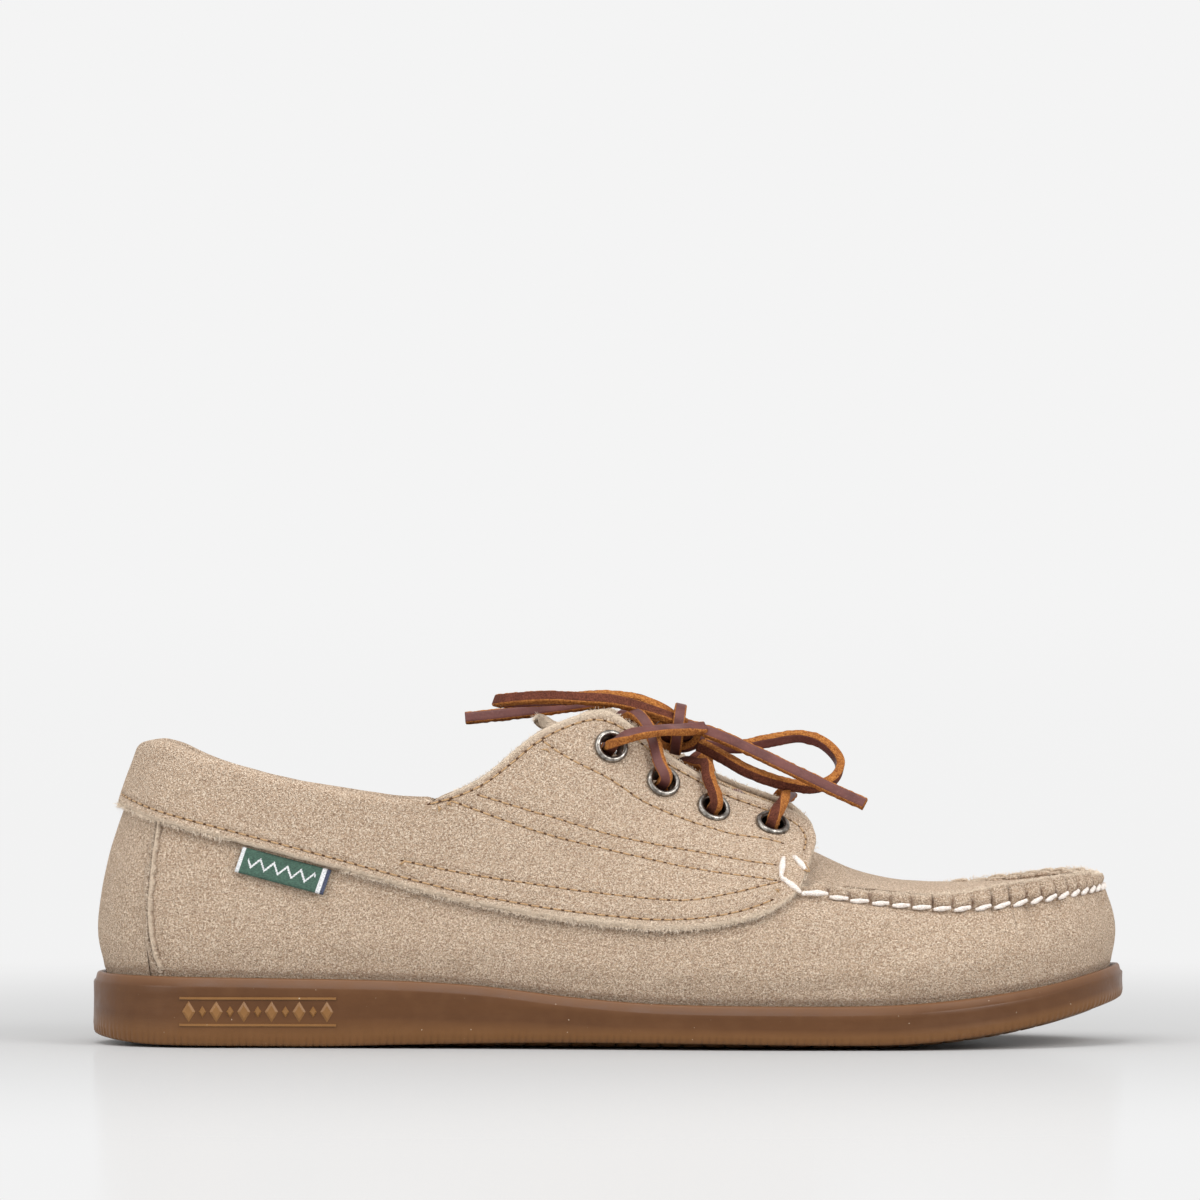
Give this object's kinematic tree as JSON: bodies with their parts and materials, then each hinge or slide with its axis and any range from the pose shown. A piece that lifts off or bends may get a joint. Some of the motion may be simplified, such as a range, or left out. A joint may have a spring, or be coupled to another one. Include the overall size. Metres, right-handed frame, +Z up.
{
  "type": "laced moccasin shoe",
  "caption": "Low suede camp moccasin for the right foot, with a hand-sewn apron toe, eyelet facings, a tied leather thong lace and a gum rubber sole.",
  "frame": {"origin": "middle of the shoe's length and width, on the ground under the outsole, laces not counted", "axes": "+X towards the toe, +Y towards the medial (inner) side of the foot, +Z up"},
  "size_m": [0.295, 0.1055, 0.1009],
  "materials": {
    "suede": "napped sand suede",
    "gum_rubber": "satin gum rubber",
    "lining_leather": "smooth",
    "fibreboard": "matt",
    "foam": "open-cell foam",
    "counter_board": "matt",
    "aged_nickel": "darkened nickel plate",
    "waxed_thread": "waxed",
    "seam_thread": "bonded sewing thread",
    "label_weave": "damask woven",
    "lace_leather": "oiled thong, raw cut edges"
  },
  "bodies": {
    "shoe": {"outsole": "gum_rubber", "insole_board": "fibreboard", "heel_pad": "foam", "footbed": "lining_leather", "vamp": "suede", "heel_panel": "suede", "heel_counter": "counter_board", "heel_lining": "lining_leather", "collar_foam": "foam", "quarter_lateral": "suede", "quarter_medial": "suede", "facing_lining_lateral": "lining_leather", "facing_lining_medial": "lining_leather", "eyelet_lateral_1": "aged_nickel", "eyelet_lateral_2": "aged_nickel", "eyelet_lateral_3": "aged_nickel", "eyelet_lateral_4": "aged_nickel", "eyelet_medial_1": "aged_nickel", "eyelet_medial_2": "aged_nickel", "eyelet_medial_3": "aged_nickel", "eyelet_medial_4": "aged_nickel", "washer_lateral_1": "aged_nickel", "washer_lateral_2": "aged_nickel", "washer_lateral_3": "aged_nickel", "washer_lateral_4": "aged_nickel", "washer_medial_1": "aged_nickel", "washer_medial_2": "aged_nickel", "washer_medial_3": "aged_nickel", "washer_medial_4": "aged_nickel", "plug": "suede", "apron_thread": "waxed_thread", "lace_laced": "lace_leather", "lace_knot": "lace_leather", "lace_end_front": "lace_leather", "lace_end_back": "lace_leather", "lace_loop_front": "lace_leather", "lace_loop_back": "lace_leather"},
    "tongue": {"tongue": "suede"},
    "label": {"side_label": "label_weave"}
  },
  "joints": [
    {"name": "tongue_fold", "type": "hinge", "parent": "shoe", "child": "tongue", "pos_m": [0.056, 0, 0.0515], "axis": [0, 1, 0], "range_deg": [-14, 0], "stiffness_Nm_per_rad": 0.08},
    {"name": "label_lift", "type": "hinge", "parent": "shoe", "child": "label", "pos_m": [-0.09134, -0.03285, 0.05331], "axis": [-0.9642, 0.0731, 0.2548], "range_deg": [0, 75], "stiffness_Nm_per_rad": 0.0005}
  ]
}
